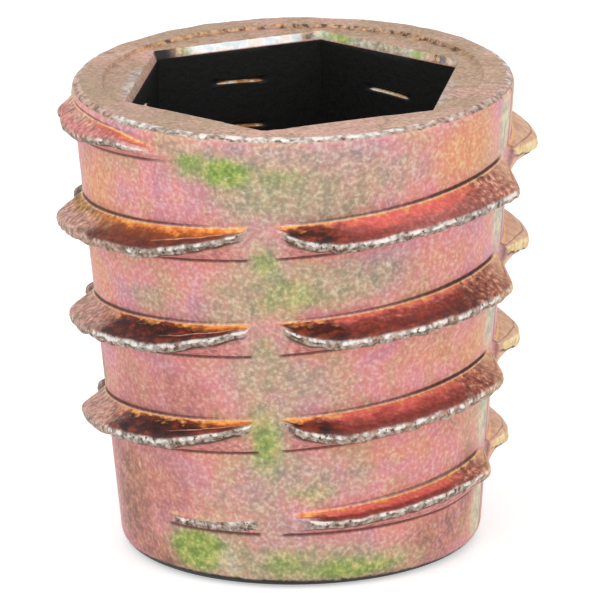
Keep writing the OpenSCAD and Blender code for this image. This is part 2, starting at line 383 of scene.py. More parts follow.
def dish_and_mouth():
    """The dish in the wide end, the socket's brink and its lead-in."""
    theta = columns(INNER_COLUMNS)
    grid = Grid(theta)
    mouth = hexagon(theta, HEX_APOTHEM + LEAD_W)
    stain, grey, silver = (along(theta, t) for t in (STEP_STAIN, SIDE_GREY, LEAD_HIGHLIGHT))
    knee_in, knee_down = DISH_KNEE
    grid.add(DISH_R, BODY_LEN, rim=1.0)
    grid.add(DISH_R - knee_in * DISH_STEP_W, BODY_LEN - knee_down * (BODY_LEN - MOUTH_Z),
             rim=1.0, step_wall=stain)
    grid.add(DISH_R - DISH_STEP_W, MOUTH_Z, rim=1.0, step_wall=stain)
    for n in range(1, FACE_ROWS):
        grid.add(DISH_R - DISH_STEP_W + (mouth - DISH_R + DISH_STEP_W) * n / FACE_ROWS,
                 MOUTH_Z, rim=1.0, grey=grey * GREY_ON_FACE * (n / (FACE_ROWS - 1)) ** 4)
    lead = {"rim": 1.0, "lead": silver, "depth": BRINK_ROWS[-1][1]}
    looks = [{"rim": 1.0, "grey": grey * GREY_NEAR_BRINK},
             {"rim": 1.0, "grey": grey, "brink": along(theta, BRINK)}, lead]
    for (out, down), look in zip(BRINK_ROWS, looks):
        grid.add(mouth + out, MOUTH_Z - down, **look)
    share_in, share_down = LEAD_ROW
    low = hexagon(theta, HEX_APOTHEM + share_in * LEAD_W)
    grid.add(low, MOUTH_Z - share_down * LEAD_H, **lead)
    return grid.points()


def inner_thread(lowest, highest, wall, groove_r):
    """A stretch of the hollow between two heights, cut by the screw thread's groove, which
    reaches out to groove_r. wall gives its radius without the groove."""
    theta = columns(INNER_COLUMNS)
    grid = Grid(theta)
    first = math.floor((lowest - SCREW_PHASE_Z) / SCREW_PITCH) - 2
    last = math.ceil((highest - SCREW_PHASE_Z) / SCREW_PITCH) + 1
    for k in range(first, last):
        middle = SCREW_PHASE_Z + SCREW_PITCH * (k + theta / 360)
        for d in GROOVE_ROWS:
            z = np.clip(middle + d, lowest, highest)
            off = z - SCREW_PHASE_Z - SCREW_PITCH * theta / 360
            off = off - SCREW_PITCH * np.round(off / SCREW_PITCH)
            plain = wall(theta, z)
            groove = groove_r - np.maximum(0, np.abs(off) - SCREW_ROOT_HALF) * SCREW_SLOPE
            cut = np.maximum(groove, plain) - plain
            # Painted highlight on the groove's lips, strong on the lower lip
            highlight_lip = np.where(off < 0, LOWER_LIP_HIGHLIGHT, UPPER_LIP_HIGHLIGHT)
            grid.add(plain + cut, z, depth=MOUTH_Z - z,
                     cut=highlight_lip * np.minimum(cut / WHOLE_CUT, 1))
    return grid.points(backwards=True)


def socket_wall(theta, z):
    return hexagon(theta, HEX_APOTHEM)


def bore_wall(theta, z):
    sink = np.maximum(SINK_W - z, z - (SOCKET_FLOOR_Z - SINK_W))
    widest = hexagon(theta, HEX_APOTHEM) - BORE_INSIDE
    return np.minimum(SCREW_MINOR_R + np.maximum(0, sink), widest)


def narrow_end():
    """The flat face of the narrow end and its rounded edge, from the bore outwards."""
    inner = Grid(columns(INNER_COLUMNS))
    outer = Grid(columns(OUTER_COLUMNS))
    centre_z = BOTTOM_EDGE_R
    centre = (body_r(centre_z) - BOTTOM_EDGE_R / math.cos(TAPER_A), centre_z)
    flat_in = SCREW_MINOR_R + SINK_W
    middle = (flat_in + centre[0]) / 2
    inner.add(middle, 0.0)
    outer.add(middle, 0.0)
    for n in range(HEEL_ROWS + 1):
        degrees = -90 + (90 - math.degrees(TAPER_A)) * n / HEEL_ROWS
        outer.add(*arc_point(centre, BOTTOM_EDGE_R, degrees),
                  heel=max(0, 1 - n / (HEEL_ROWS - 1)))
    return inner.points(), outer.points()


# -------- joining the patches
def grid_faces(first, rows, count):
    """Faces of a patch whose points start at index first, facing out of the metal."""
    index = first + np.arange(rows * (count + 1)).reshape(rows, count + 1)
    quads = np.stack([index[:-1, :-1], index[:-1, 1:], index[1:, 1:], index[1:, :-1]], -1)
    return quads.reshape(-1, 4)


def fan_faces(fine, coarse, flipped):
    """Triangles between a ring of fine columns and one of half as many."""
    faces = []
    for i in range(INNER_COLUMNS):
        a, b, c = fine[2 * i], fine[2 * i + 1], fine[2 * i + 2]
        d, e = coarse[i], coarse[i + 1]
        faces += [(a, b, d), (b, e, d), (b, c, e)]
    faces = np.array(faces)
    return faces[:, ::-1] if flipped else faces


def build_skin():
    """The points, four-cornered faces and triangles of all patches, not yet welded."""
    bore = inner_thread(0.0, SOCKET_FLOOR_Z, bore_wall, SCREW_MAJOR_R)
    socket = inner_thread(SOCKET_FLOOR_Z, MOUTH_Z - LEAD_H, socket_wall, NICK_R)
    end_in, end_out = narrow_end()
    mouth = np.concatenate([dish_and_mouth(), socket[:1]])
    floor = np.stack([socket[-1], bore[0]])
    end_face = np.concatenate([bore[-1:], end_in])
    patches = {
        "side": outer_thread(), "rim": rim(), "dish": mouth, "socket": socket,
        "floor": floor, "bore": bore, "end_in": end_face, "end_out": end_out,
    }
    points, quads, starts = [], [], {}
    total = 0
    for name, grid in patches.items():
        starts[name] = total
        quads.append(grid_faces(total, grid.shape[0], grid.shape[1] - 1))
        points.append(grid.reshape(-1, grid.shape[-1]))
        total += points[-1].shape[0]

    def ring(name, row):
        width = patches[name].shape[1]
        first = starts[name] + (row % patches[name].shape[0]) * width
        return np.arange(first, first + width)

    triangles = [
        fan_faces(ring("rim", -1), ring("dish", 0), False),
        fan_faces(ring("end_out", 0), ring("end_in", -1), True),
    ]
    return np.concatenate(points), np.concatenate(quads), np.concatenate(triangles)


def weld(points, quads, triangles):
    """Points that share a place become one, and faces without an area go."""
    key = np.round(points[:, :3] * WELD_GRID).astype(np.int64)
    _, kept, moved = np.unique(key, axis=0, return_index=True, return_inverse=True)
    moved = moved.reshape(-1)
    padded = np.pad(moved[triangles], ((0, 0), (0, 1)), constant_values=-1)
    faces = []
    for face in np.concatenate([moved[quads], padded]):
        ring = []
        for v in face:
            if v >= 0 and v not in ring:
                ring.append(int(v))
        if len(ring) > 2:
            faces.append(ring)
    return points[kept], faces


def uneven(points):
    """The places of the points with the casting's slight unevenness, which leaves the two end
    planes and the hollow, and stays inside the CAD's box."""
    xyz = points[:, :3].copy()
    r = np.hypot(xyz[:, 0], xyz[:, 1])
    out = xyz[:, :2] / np.maximum(r, TINY)[:, None]
    outside = (taken(points, "depth") == 0) & (r > HOLLOW_R) & (xyz[:, 2] > BASE_BAND)
    push = waves(xyz, *SIDE_WAVES[0]) + waves(xyz, *SIDE_WAVES[1])
    push = np.where(taken(points, "crest") > 0.5, CREST_WAVES * push, push)
    push = np.where(outside & (r > DISH_R + EDGE_BAND), push, 0)
    xyz[:, :2] += out * push[:, None]
    top = outside & (xyz[:, 2] > MOUTH_Z - EDGE_BAND)
    sink = np.abs(waves(xyz, *FACE_WAVES[0])) + np.abs(waves(xyz, *FACE_WAVES[1]))
    xyz[:, 2] -= np.where(top, sink, 0)
    return np.clip(xyz, *(np.array(cad_bounds) / MM))


# -------- where the coating changes
# Soft patches as (angle, height, half width, half height, strength), in degrees and mm, and
# how fast they fade
PATCH_FADE, PATCH_POWER = 0.7, 1.5
PATCHES = {
    "olive": [(-12, 11.8, 1.4, 0.5, 0.9), (7, 11.3, 2.0, 0.9, 1.0), (18, 11.2, 1.8, 0.9, 0.7),
        (2, 8.9, 1.3, 1.2, 0.8), (16, 8.6, 2.4, 0.6, 0.9), (-8, 8.0, 1.0, 0.8, 0.8),
        (0, 6.2, 1.2, 1.2, 0.8), (11, 5.9, 1.5, 0.6, 0.7), (0, 4.2, 1.1, 1.3, 0.9),
        (4, 3.2, 0.8, 0.9, 0.6), (11, 3.1, 1.0, 0.5, 0.5), (8, 0.6, 3.0, 0.7, 1.0),
        (-20, 1.0, 1.4, 0.9, 0.9), (-35, 7.9, 1.0, 0.4, 0.7), (26, 11.8, 1.6, 0.4, 0.7),
        (-1, 1.9, 1.0, 0.8, 0.6), (40, 0.5, 1.4, 0.3, 0.6)],
    "green": [(-9, 11.8, 0.65, 0.36, 1.3), (-18, 11.95, 0.5, 0.35, 0.8), (6, 11.7, 0.6, 0.3, 0.5),
        (1, 9.3, 0.4, 0.4, 0.6), (7, 8.4, 0.9, 0.5, 0.6), (-1, 4.2, 0.45, 0.8, 0.8),
        (-25, 0.9, 0.8, 0.55, 1.4), (25, 0.5, 1.4, 0.3, 0.9), (4, 0.7, 0.6, 0.4, 0.7),
        (13, 2.7, 0.6, 0.3, 0.6), (-1, 7.0, 0.3, 0.4, 0.4)],
    "mauve": [(6, 12.3, 3.4, 0.35, 0.9), (22, 10.6, 1.2, 0.7, 0.7), (-14, 12.2, 1.0, 0.4, 0.8),
        (-8, 10.0, 0.8, 0.5, 0.7), (-5, 10.9, 0.8, 0.5, 0.8), (30, 9.0, 1.2, 0.5, 0.9),
        (12, 7.4, 1.0, 0.3, 0.6), (12, 3.1, 2.0, 0.7, 0.7), (28, 5.0, 1.6, 0.4, 0.5),
        (-10, 2.6, 1.2, 0.5, 0.6), (37, 11.7, 1.2, 0.6, 0.6), (170, 7.0, 1.8, 0.8, 0.7),
        (235, 9.0, 1.6, 0.7, 0.7), (110, 11.0, 1.4, 0.6, 0.7)],
    # The thin gold patch at -16 degrees and 3.68 mm is a painted highlight under a ridge's foot
    "gold": [(60, 11.8, 1.3, 0.9, 1.0), (-58, 10.6, 1.2, 1.0, 0.9), (52, 8.9, 1.6, 0.4, 0.6),
        (50, 6.2, 1.1, 0.35, 0.6), (42, 3.65, 1.4, 0.3, 0.6), (-62, 8.0, 0.9, 0.7, 0.7),
        (-16, 3.68, 0.9, 0.1, 1.2), (-14, 9.2, 0.8, 0.08, 0.9), (70, 6.0, 0.8, 0.8, 0.8),
        (-50, 2.6, 1.4, 0.6, 0.4), (52, 1.6, 1.0, 0.5, 0.5), (150, 9.5, 1.8, 0.9, 0.7),
        (215, 6.0, 1.8, 0.9, 0.7), (120, 3.0, 1.6, 0.8, 0.7)],
    # The next patches are painted shade: darker brown low on the body and at its sides
    "shade_patch": [(-56, 1.7, 1.0, 1.6, 0.9), (-40, 0.5, 1.8, 0.5, 0.8), (58, 1.0, 1.2, 0.9, 0.7),
        (72, 2.0, 0.6, 1.4, 0.7), (-74, 5.0, 0.5, 0.8, 0.7), (-72, 9.0, 0.5, 0.8, 0.6),
        (50, 2.9, 1.0, 0.2, 0.3), (140, 1.2, 2.0, 0.8, 0.6), (220, 1.6, 2.0, 0.8, 0.6)],
    "flush": [(-44, 2.4, 1.8, 1.2, 0.9), (-46, 5.0, 1.5, 0.9, 0.7), (-66, 3.0, 0.8, 1.6, 0.6),
        (-28, 5.3, 1.2, 0.7, 0.9), (60, 4.0, 0.9, 0.6, 0.5), (48, 10.3, 1.0, 0.5, 0.4)],
    "rim_olive": [(-80, 12.8, 1.8, 0.3, 0.8), (-40, 12.8, 1.2, 0.3, 0.6),
        (150, 12.8, 2.5, 0.3, 0.5), (-150, 12.8, 2.0, 0.3, 0.6), (60, 12.8, 1.0, 0.3, 0.4)],
    # The pale bands at 83 and -78 degrees are painted highlights along the side parting lines
    "pale": [(-14, 0.6, 0.35, 0.4, 0.9)] + [
        (angle, z, 0.45, 1.0, 1.1) for angle in (83, -78) for z in (1.2, 3.9, 6.6, 9.4, 11.9)],
}
# Stains of the lead-in, and black painted as shade in a notch, as (angle, amount) round the part
ROUND_PART = {
    "mossy": [(0, 0), (131, 0), (136, 1), (141, 0.3), (165, 0.2), (171, 1), (178, 0.6), (183, 0),
        (226, 0), (231, 0.6), (236, 0), (360, 0)],
    "gilt": [(0, 0), (122, 0.6), (130, 1), (135, 0), (150, 0.3), (160, 0), (180, 0.2), (184, 1),
        (188, 0), (228, 0), (234, 0.8), (240, 0), (360, 0)],
    "sooty": [(0, 0), (138, 0), (145, 0.9), (165, 0.9), (172, 0), (360, 0)],
    "notch_shade": [(0, 0), (233, 0), (236, 1), (241, 1), (243, 0), (360, 0)],
}
# Round one turn of the thread: the tan bumps right of the right parting line, dull and brown
# flanks, the dark knobs on the left, and how dark the painted shade in the upper flank's crevice
# is
ROUND_TURN = {
    "tan": [(0, 0), (62, 0), (76, 0.6), (84, 1), (125, 1), (140, 0.4), (180, 0.2), (190, 0),
        (240, 0), (360, 0)],
    "dull": [(0, 0), (235, 0), (258, 1), (298, 1), (318, 0), (360, 0)],
    "brown": [(0, 0), (50, 0), (70, 0.8), (84, 1), (95, 0), (180, 0), (200, 0.4), (240, 0.6),
        (260, 0), (360, 0)],
    "knob": [(0, 0), (240, 0), (250, 0.9), (264, 0.9), (268, 0), (360, 0)],
    "crevice_shade": [(0, 0.2), (30, 0.5), (55, 0.9), (80, 1), (180, 0.5), (284, 1), (320, 0.7),
        (345, 0.4), (360, 0.2)],
}
# Along the thread, turn by turn: amber and rosy flanks, and where the upper flank has its own
# colours on the thread's first stretch
ALONG_THREAD = {
    "amber": [(978, 0), (988, 1), (1012, 1), (1040, 0)],
    "rosy": [(1110, 0), (1120, 0.35), (1150, 0.2), (1165, 0), (1330, 0), (1345, 1), (1385, 1),
        (1419, 0.6)],
    "shows": [(-39, 1), (-30, 0.3), (-20, 0), (0, 0), (6, 1)],
}
ROSY_IS_RED = 1300         # from here on along the thread, what is rosy is red, too
# Red flanks and painted shade on them, silvery crests, and the thin fold over a crest's end
# with its painted highlight, round one turn
FLANK_RED = [
    (0, 0), (10, 0.2), (20, 1), (55, 1), (75, 0.5), (90, 0), (180, 0), (200, 1), (240, 0.6),
    (262, 0), (350, 0), (360, 0),
]
FLANK_SHADE_ROUND = [
    (0, 0), (6, 0.9), (16, 1), (23, 0.4), (45, 0.3), (64, 0.5), (74, 0.5), (85, 0),
    (130, 0), (150, 0.5), (187, 0.9), (210, 0.4), (250, 0.3), (284, 0), (304, 0.1),
    (314, 0.8), (330, 0.9), (345, 0.5), (360, 0),
]
CREST_SILVER = [
    (0, 1), (62, 1), (76, 0.5), (84, 0), (130, 0), (160, 0.8), (200, 0.8), (240, 0.3),
    (262, 0), (298, 0.1), (314, 0.8), (324, 1), (360, 1),
]
FOLD_SHOWS = [(0, 0), (330, 0), (338, 1), (350, 1), (354, 0), (360, 0)]
# and how strong the painted shade on the flanks is and how silvery the turns are, along the thread
SHADE_BY_TURN = [
    (10, 0.8), (85, 0.6), (284, 2.0), (356, 1.7), (370, 1.1), (445, 1.0), (644, 2.0),
    (716, 1.7), (730, 1.4), (755, 2.0), (805, 1.8), (1004, 0.9), (1076, 0.6), (1090, 1.3),
    (1102, 1.2), (1112, 0.3), (1128, 0.4), (1140, 1.3), (1155, 1.3), (1165, 0.8),
    (1345, 1.0), (1400, 0.9),
]
SILVER_BY_TURN = [
    (10, 0.8), (85, 0.7), (284, 1), (356, 1), (370, 0.65), (445, 0.5), (644, 1), (716, 1),
    (730, 0.7), (805, 0.5), (995, 1), (1008, 0.2), (1040, 0.5), (1056, 1),
]
START_SHOWS = 5.0          # how much more the low first stretch is worn than its height tells
CREASE_SHADE_ANGLE, CREASE_SHADE_WIDTH = 89.2, 0.07    # painted shade: a brown line down the crease at the ridges' right ends
# How strongly the narrow end's edge darkens, olive and then black as painted shade, round the part
HEEL_DARKENING = [(0, 1.2), (20, 1.0), (60, 0.9), (100, 0.6), (180, 0.6), (290, 1.1), (315, 1.6),
              (345, 1.5), (360, 1.2)]


def patch_amount(angle, r, z, wanted):
    amount = np.zeros_like(z)
    for at, height, half_w, half_h, strength in wanted:
        off = (angle - at + 180) % 360 - 180
        far = (np.radians(off) * r / half_w) ** 2 + ((z - height) / half_h) ** 2
        amount = np.maximum(amount, strength * np.exp(-PATCH_FADE * far ** PATCH_POWER))
    return amount


def coating(points):
    """The fields that the coating's colours follow, by name."""
    x, y, z = points[:, 0], points[:, 1], points[:, 2]
    angle, r = np.degrees(np.arctan2(x, -y)), np.hypot(x, y)
    a = taken(points, "thread_a")
    fields = {name: patch_amount(angle, r, z, wanted) for name, wanted in PATCHES.items()}
    for tables, place in ((ROUND_PART, angle % 360), (ROUND_TURN, a % 360), (ALONG_THREAD, a)):
        fields.update({name: along(place, table) for name, table in tables.items()})
    # Painted shade: a brown line down the crease on the right
    crease_shade = np.exp(-(np.radians(angle - CREASE_SHADE_ANGLE) * r / CREASE_SHADE_WIDTH) ** 2)
    fields["crease_shade"] = crease_shade * (taken(points, "depth") == 0)
    # The narrow end's edge: olive, and black nearest the floor as painted shade
    fields["stain"] = taken(points, "heel") * along(angle % 360, HEEL_DARKENING)
    fields["red"] = np.maximum(along(a % 360, FLANK_RED), fields["rosy"] * (a > ROSY_IS_RED))
    # Painted shade on the upper flanks
    fields["flank_shade"] = along(a % 360, FLANK_SHADE_ROUND) * along(a, SHADE_BY_TURN)
    fields["silver"] = along(a % 360, CREST_SILVER) * along(a, SILVER_BY_TURN)
    fields["fold"] = along(a % 360, FOLD_SHOWS) * (a > 0)
    fields["worn"] = taken(points, "share") * np.where(a < 0, START_SHOWS, 1.0)
    return fields


def add_object(name, data):
    made = bpy.data.objects.new(name, data)
    bpy.context.scene.collection.objects.link(made)
    return made


def make_piece(name):
    points, faces = weld(*build_skin())
    mesh = bpy.data.meshes.new(name)
    mesh.from_pydata(uneven(points) * MM, [], faces)
    mesh.polygons.foreach_set("use_smooth", np.ones(len(mesh.polygons), dtype=bool))
    mesh.set_sharp_from_angle(angle=math.radians(SHARP_ANGLE))
    fields = {field: taken(points, field) for field in FIELDS}
    for field, values in {**fields, **coating(points)}.items():
        made = mesh.attributes.new(field, "FLOAT", "POINT")
        made.data.foreach_set("value", values.astype(np.float32))
    mesh.update()
    return add_object(name, mesh)


# -------- tones
def colour(code):
    """A display colour such as "c9a596" in linear light."""
    parts = [int(code[n:n + 2], 16) / 255 for n in (0, 2, 4)]
    return tuple(p / 12.92 if p <= 0.04045 else ((p + 0.055) / 1.055) ** 2.4
                 for p in parts) + (1.0,)


# Tones that follow a noise or a field, as (place between 0 and 1, colour)
BODY_TONES = [(0.36, "d8aab2"), (0.45, "e4acb4"), (0.51, "eab0ae"), (0.57, "e6b4a2"),
              (0.66, "dabc9c")]
MAUVE_TONES = [(0.35, "c0a8a2"), (0.5, "ceb6ac"), (0.65, "d8c0b4")]
# Painted shade: darker brown for the patches low on the body and at its sides
SHADE_PATCH_TONES = [(0.35, "a46c5a"), (0.5, "ba7e68"), (0.65, "ca967c")]
FLUSH_TONES = [(0.35, "cc8a80"), (0.5, "d6968a"), (0.65, "dca294")]
OLIVE_TONES = [(0.36, "bcb290"), (0.46, "c2b694"), (0.54, "cabe9c"), (0.64, "d0c0a4")]
GREEN_TONES = [(0.36, "92ae50"), (0.48, "a6bc5e"), (0.56, "b8c468"), (0.65, "ccca80")]
GOLD_TONES = [(0.35, "e4ac80"), (0.5, "eab688"), (0.65, "eac294")]
PALE_TONES = [(0.35, "bcc0a8"), (0.5, "d8ccb4"), (0.65, "e8dcc4")]
TAN_TONES = [(0.35, "d4a888"), (0.48, "deb492"), (0.62, "e4be9e")]
DULL_TONES = [(0.36, "a8806e"), (0.44, "c89c8a"), (0.54, "d8b09e"), (0.64, "e2beac")]
AMBER_TONES = [(0.36, "84541c"), (0.45, "b88434"), (0.55, "d2a04c"), (0.65, "e4c078")]
YELLOW_TONES = [(0.35, "d8b882"), (0.48, "ead094"), (0.62, "f0dcac")]
BURNT_TONES = [(0.36, "6e3022"), (0.43, "a85a44"), (0.54, "c07a5e"), (0.63, "e6baa0")]
ROSE_TONES = [(0.35, "c07a72"), (0.48, "d8908a"), (0.62, "e0a49a")]
# The upper flank from its top to the crest: the coating's colour, darkening with painted shade
ORANGE_FLANK = [(0.0, "f8c878"), (0.12, "f0a048"), (0.3, "dc7c32"), (0.6, "b45a28"),
                (0.95, "7c3418")]
RED_FLANK = [(0.0, "e8b068"), (0.1, "e4826a"), (0.3, "e87870"), (0.6, "d06458"),
             (0.95, "a04438")]
# Painted shade on the upper flanks near the crest
FLANK_SHADE_TONES = [(0.36, "280a05"), (0.5, "581609"), (0.62, "90381c")]
KNOB_TONES = [(0.4, "3a1a14"), (0.5, "6a3a2e"), (0.62, "a87060")]
# Painted highlight on the lead-in at the back
LEAD_HIGHLIGHT_TONES = [(0.38, "e8f0f0"), (0.5, "ffffff"), (0.62, "fcf0e8")]
GREY_TONES = [(0.38, "988c86"), (0.5, "bcb0aa"), (0.6, "d4cac4")]
GILT_TONES = [(0.4, "4a2c1a"), (0.48, "a07048"), (0.57, "dcb48a")]
# Painted highlights on the lips of the screw thread's groove
NICK_HIGHLIGHT_TONES = [(0.42, "d89458"), (0.5, "fcd8a4"), (0.58, "fff6ea")]
# Lightened as painted light, against the shade under the crests
UNDER_TONES = [(0.36, "c88a84"), (0.46, "e0a09c"), (0.65, "eeb4ac")]
# Painted highlight in bright silver: the crest's upper lip and a band on the wide end's edge
SILVER_HIGHLIGHT_TONES = [(0.36, "a0948a"), (0.44, "beb4aa"), (0.5, "d6d0ca"), (0.58, "ece6e0")]
CREST_TONES = [(0.36, "74543f"), (0.44, "a28c7c"), (0.52, "baaca0"), (0.62, "d2c8be")]
BROWN_TONES = [(0.36, "805e4e"), (0.45, "b08c7a"), (0.54, "c8a490"), (0.64, "dabca8")]
# Painted shade in the crevice over each upper flank
CREVICE_SHADE_TONES = [(0.4, "341408"), (0.6, "6a3620")]
HEEL_TONES = [(0.35, "8c7a5a"), (0.5, "a89470"), (0.65, "c0a888")]
HUE_TONES = [(0.35, "706a90"), (0.5, "808080"), (0.65, "a09c6c")]
GRAIN_TONES = [(0.28, "343434"), (0.5, "848484"), (0.72, "d4d4d4")]
RIM_TONES = [(0.36, "a8846e"), (0.46, "c49e88"), (0.54, "cea892"), (0.64, "d8b4a2")]
# The body's patches, from the lowest up
TINTS = [("flush", FLUSH_TONES), ("gold", GOLD_TONES), ("shade_patch", SHADE_PATCH_TONES),
         ("mauve", MAUVE_TONES), ("olive", OLIVE_TONES), ("green", GREEN_TONES),
         ("pale", PALE_TONES)]
# Single colours
# Painted light: the paler pink band on the body under each ridge
# Painted shade: the brown line down the crease on the right
LEDGE_LIGHT, PALE_FLECK, CREASE_SHADE_BROWN = "f0a090", "f4ece4", "8e6046"
# Painted highlight: the gold line along each upper flank's top
# The dark line at each ridge's foot: partly its colour, partly painted shade
GOLD_HIGHLIGHT_LINE, FOOT_LINE_AND_SHADE = "f4cc8c", "6a2416"
# Painted shade: brown lines in the tan bumps' creases. Painted highlight: the pale fold over a
# crest's end
# Painted shade: the dark line under each crest
CREST_PIT, CREST_FOOT_SHADE, BUMP_CREASE_SHADE, FOLD_HIGHLIGHT = "745242", "6a4034", "8e5c38", "e6c0a0"
# Painted highlight: the pale brink of the socket's front sides
FACE_DUN, FACE_PINK, FACE_OLIVE, BRINK_HIGHLIGHT = "b49a78", "dcaca0", "a68c6e", "ecccb8"
# Painted shade: black round the narrow end's edge
# Painted shade: the black of the socket and of the notch at one corner
HEEL_SHADE_BLACK, HOLLOW_SHADE_BLACK, BORE_METAL = "16110c", "080807", "5c4a3c"
WHITE = (1, 1, 1, 1)


# -------- materials
class Nodes:
    """The node tree of a material or of the world, with short names for what it uses. Its
    noises run from 0 to 1."""

    def __init__(self, owner):
        owner.use_nodes = True
        self.owner = owner
        self.tree = owner.node_tree
        self.tree.nodes.clear()

    def node(self, kind, **values):
        made = self.tree.nodes.new(kind)
        for key, value in values.items():
            setattr(made, key, value)
        return made

    def feed(self, socket, value):
        if isinstance(value, bpy.types.NodeSocket):
            self.tree.links.new(value, socket)
        else:
            socket.default_value = value

    def field(self, name):
        return self.node("ShaderNodeAttribute", attribute_name=name).outputs["Fac"]

    def noise(self, size, detail=2.0, rough=0.5, warp=0.0, at=(0, 0, 0), flat=1.0):
        """Noise with features of that size in millimetres, flat times longer across Z."""
        move = self.node("ShaderNodeMapping")
        self.feed(move.inputs["Vector"], self.node("ShaderNodeTexCoord").outputs["Object"])
        self.feed(move.inputs["Location"], at)
        self.feed(move.inputs["Scale"], (1 / flat, 1 / flat, 1))
        made = self.node("ShaderNodeTexNoise")
        self.feed(made.inputs["Vector"], move.outputs["Vector"])
        self.feed(made.inputs["Scale"], 1 / (size * MM))
        self.feed(made.inputs["Detail"], detail)
        self.feed(made.inputs["Roughness"], rough)
        self.feed(made.inputs["Distortion"], warp)
        return made.outputs["Fac"]

    def math(self, kind, a, b, clamp=False):
        made = self.node("ShaderNodeMath", operation=kind, use_clamp=clamp)
        self.feed(made.inputs[0], a)
        self.feed(made.inputs[1], b)
        return made.outputs[0]

    def times(self, value, amount):
        return self.math("MULTIPLY", value, amount)

    def both(self, a, b):
        """The product of two amounts, kept between 0 and 1."""
        return self.math("MULTIPLY", a, b, True)

    def step(self, value, lo, hi):
        """0 at lo and 1 at hi, smoothly."""
        made = self.node("ShaderNodeMapRange", interpolation_type="SMOOTHSTEP")
        self.feed(made.inputs["Value"], value)
        self.feed(made.inputs["From Min"], lo)
        self.feed(made.inputs["From Max"], hi)
        return made.outputs["Result"]

    def on(self, name, lo, hi):
        """The step of a field."""
        return self.step(self.field(name), lo, hi)

    def strayed(self, value, noise, amount):
        """A value with its edges broken up by a noise."""
        return self.math("ADD", value, self.times(self.math("SUBTRACT", noise, 0.5), amount))

    def ragged(self, name, noise, amount, lo, hi):
        """The step of a field whose edges are broken up by a noise."""
        return self.step(self.strayed(self.field(name), noise, amount), lo, hi)

    def mix(self, factor, a, b, kind="MIX"):
        made = self.node("ShaderNodeMix", data_type="RGBA", blend_type=kind)
        self.feed(made.inputs["Factor"], factor)
        first, second = [socket for socket in made.inputs if socket.type == "RGBA"]
        self.feed(first, a)
        self.feed(second, b)
        return next(socket for socket in made.outputs if socket.type == "RGBA")

    def ramp(self, value, stops):
        made = self.node("ShaderNodeValToRGB")
        self.feed(made.inputs["Fac"], value)
        line = made.color_ramp.elements
        while len(line) < len(stops):
            line.new(0.5)
        # All places come before the first colour, because the line sorts itself by place
        for element, (place, _) in zip(line, stops):
            element.position = place
        for element, (_, code) in zip(line, stops):
            element.color = colour(code)
        return made.outputs["Color"]

    def paint(self, base, amount, tones, noise=None):
        """A colour, or tones that follow a noise, laid over the base by that amount."""
        return self.mix(amount, base, self.ramp(noise, tones) if noise else colour(tones))

    def blend(self, factor, a, b):
        """A number between a and b."""
        made = self.node("ShaderNodeMix", data_type="FLOAT")
        self.feed(made.inputs["Factor"], factor)
        self.feed(made.inputs[2], a)
        self.feed(made.inputs[3], b)
        return made.outputs[0]

    def seen(self):
        """1 for the camera and for what shows in gloss or glass, and 0 for light."""
        path = self.node("ShaderNodeLightPath").outputs
        seen = self.math("MAXIMUM", path["Is Camera Ray"], path["Is Glossy Ray"])
        return self.math("MAXIMUM", seen, path["Is Transmission Ray"])


class Chromate(Nodes):
    """The nodes of the chromated zinc, with the noises that its parts share."""

    def __init__(self):
        super().__init__(bpy.data.materials.new("chromated_zinc"))
        self.grain = self.noise(0.11, 1)
        self.speck = self.noise(0.17, 2, 0.6, at=(3, 1, 2))
        self.fleck = self.noise(0.26, at=(7, 2, 5))
        self.hue = self.noise(0.3, at=(2, 9, 4))
        self.streak = self.noise(0.16, 2, 0.6, at=(4, 4, 4), flat=2.5)
        self.mottle = self.noise(0.6, 3, 0.6, warp=0.5)
        self.cloud = self.noise(1.9, warp=0.5, at=(1, 5, 3))
        self.level = self.strayed(self.field("across"), self.fleck, 0.6)
        # The crest's upper lip, where a highlight is painted
        self.highlight_lip = self.step(self.level, 0.5, 0.62)


# Each lay_ function lays one part of the insert over the colours under it
def body_colours(s):
    """Pink, with soft patches of other tints. Painted shade: darker patches low down and at the
    sides, and a brown line down the crease on the right. Painted light: a paler band under each
    ridge, pale bands at the side parting lines and a thin gold line under one ridge's foot.
    """
    tone = s.math("ADD", s.times(s.mottle, 0.2), s.times(s.cloud, 0.8))
    body = s.ramp(tone, BODY_TONES)
    for name, tones in TINTS:
        patch = s.strayed(s.strayed(s.field(name), s.mottle, 0.6), s.speck, 0.2)
        body = s.paint(body, s.step(patch, 0.0, 1.1), tones, s.hue)
    # Painted light: a paler band on the body under each ridge
    by_ledge = s.both(s.on("below_ledge", 0.0, 0.3), s.on("share", 0.2, 0.5))
    body = s.paint(body, s.times(by_ledge, 0.45), LEDGE_LIGHT)
    body = s.paint(body, s.times(s.step(s.fleck, 0.69, 0.73), 0.35), PALE_FLECK)
    # Painted shade: a brown line down the crease on the right
    return s.paint(body, s.times(s.field("crease_shade"), 0.8), CREASE_SHADE_BROWN)


